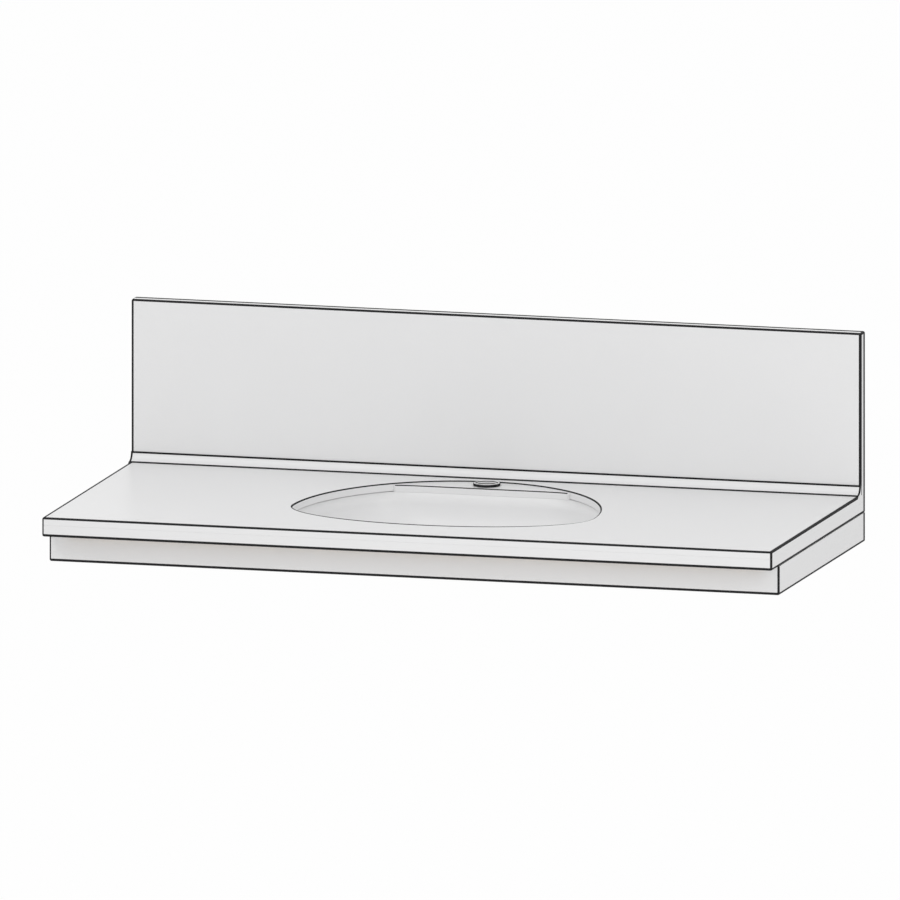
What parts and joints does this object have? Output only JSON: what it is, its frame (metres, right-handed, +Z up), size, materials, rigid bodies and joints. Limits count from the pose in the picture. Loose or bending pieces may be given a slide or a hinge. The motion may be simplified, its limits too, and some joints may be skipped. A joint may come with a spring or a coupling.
{
  "type": "vanity sink top",
  "caption": "Light grey solid-surface vanity top with egg-shaped basin, raised tap seat on a recessed ledge, tall coved splash, set-back apron and push-to-open waste.",
  "frame": {"origin": "middle of the rear rail's underside, on the plane that rests on the cabinet", "axes": "+X to the right along the top's width, +Y from the front edge towards the wall, +Z up from the cabinet to the deck"},
  "size_m": [1.22, 0.572, 0.3942],
  "materials": {
    "solid_surface": "satin",
    "plywood": "matte",
    "zinc_steel": "satin",
    "chrome": "polished",
    "brass": "satin",
    "black_rubber": "matte",
    "silicone": "satin",
    "acetal": "satin"
  },
  "bodies": {
    "top": {"worktop_sheet": "solid_surface", "edge_strip_front": "solid_surface", "edge_strip_left": "solid_surface", "edge_strip_right": "solid_surface", "splash_sheet": "solid_surface", "splash_strip_top": "solid_surface", "splash_strip_left": "solid_surface", "splash_strip_right": "solid_surface", "cove_strip": "solid_surface", "apron_front": "solid_surface", "apron_left": "solid_surface", "apron_right": "solid_surface", "basin": "solid_surface", "tap_ledge": "solid_surface", "tap_seat": "solid_surface", "overflow_channel": "solid_surface", "underlay_panel": "plywood", "splash_backer": "plywood", "rail_front": "plywood", "rail_rear": "plywood", "rail_left": "plywood", "rail_right": "plywood", "rail_cross_left": "plywood", "rail_cross_right": "plywood", "corner_block_front_left": "plywood", "corner_block_front_right": "plywood", "corner_block_rear_left": "plywood", "corner_block_rear_right": "plywood", "basin_clip_1": "zinc_steel", "basin_clip_2": "zinc_steel", "basin_clip_3": "zinc_steel", "basin_clip_4": "zinc_steel", "basin_clip_5": "zinc_steel", "basin_clip_6": "zinc_steel", "clip_screw_1": "zinc_steel", "clip_screw_2": "zinc_steel", "clip_screw_3": "zinc_steel", "clip_screw_4": "zinc_steel", "clip_screw_5": "zinc_steel", "clip_screw_6": "zinc_steel", "overflow_ring": "chrome", "waste_body": "chrome", "waste_flange_seal": "black_rubber", "waste_gasket": "black_rubber", "waste_washer": "brass", "waste_locknut": "brass", "sealant_bead": "silicone", "stopper_cartridge": "acetal"},
    "stopper": {"stopper_cap": "chrome", "stopper_seal": "black_rubber", "stopper_stem": "zinc_steel"}
  },
  "joints": [
    {"name": "stopper_push", "type": "slide", "parent": "top", "child": "stopper", "axis": [0, 0, 1], "range_m": [0, 0.008]}
  ]
}
